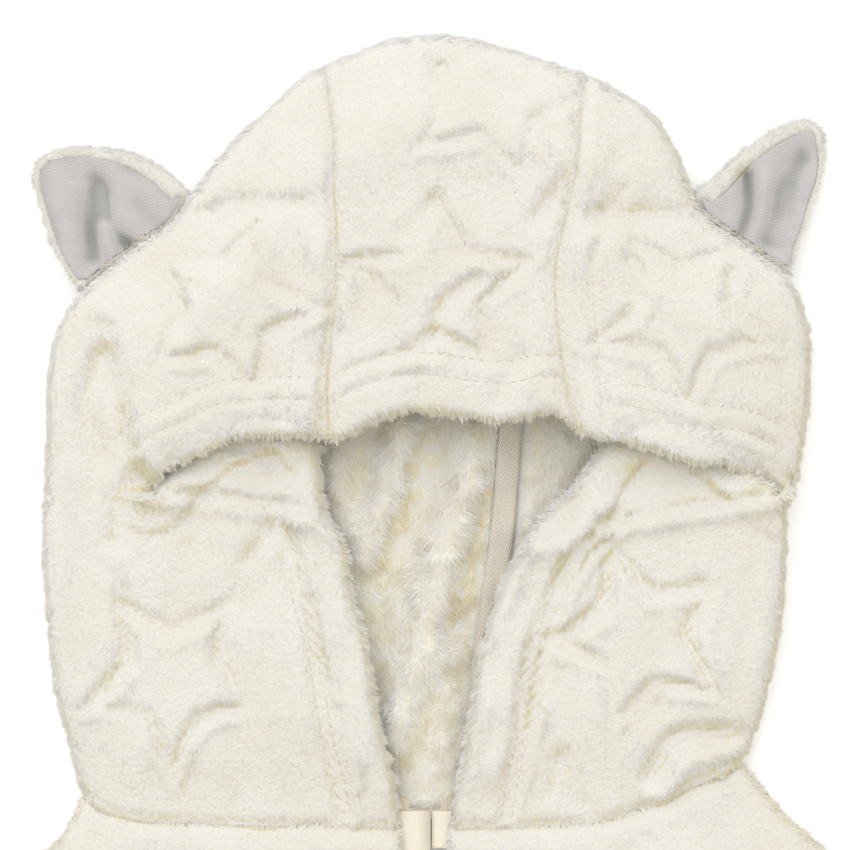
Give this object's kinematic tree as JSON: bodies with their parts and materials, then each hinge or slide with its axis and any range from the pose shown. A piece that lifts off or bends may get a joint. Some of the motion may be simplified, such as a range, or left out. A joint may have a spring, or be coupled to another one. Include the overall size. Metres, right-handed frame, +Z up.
{
  "type": "child's hooded sherpa fleece jacket",
  "caption": "Child's hooded double-faced fleece jacket with embossed stars and cat ears, laid flat on its back, front closed with press studs.",
  "frame": {"origin": "on the surface that the jacket lies on, under the middle of the neck seam", "axes": "+Z up from the surface, +Y from the neck seam towards the top of the hood, +X towards the wearer's left sleeve"},
  "size_m": [0.822, 0.7445, 0.0358],
  "materials": {
    "plush": "short cream plush outside, long sherpa pile inside",
    "ear_lining": "matt lilac-grey cotton twill",
    "tape": "beige herringbone twill tape",
    "label": "bare cream satin",
    "stud": "ivory, slightly glossy"
  },
  "bodies": {
    "root": {"back": "plush", "front_left": "plush", "front_right": "plush", "sleeve_left": "plush", "sleeve_right": "plush", "hood_centre": "plush", "hood_side_left": "plush", "hood_side_right": "plush", "ear_left": "plush", "ear_right": "plush", "ear_lining_left": "ear_lining", "ear_lining_right": "ear_lining", "neck_tape": "tape", "hood_seam_tape": "tape", "neck_label": "label", "size_tab": "label", "stud_1": "stud", "stud_2": "stud", "stud_3": "stud", "stud_4": "stud", "stud_5": "stud"}
  },
  "joints": []
}
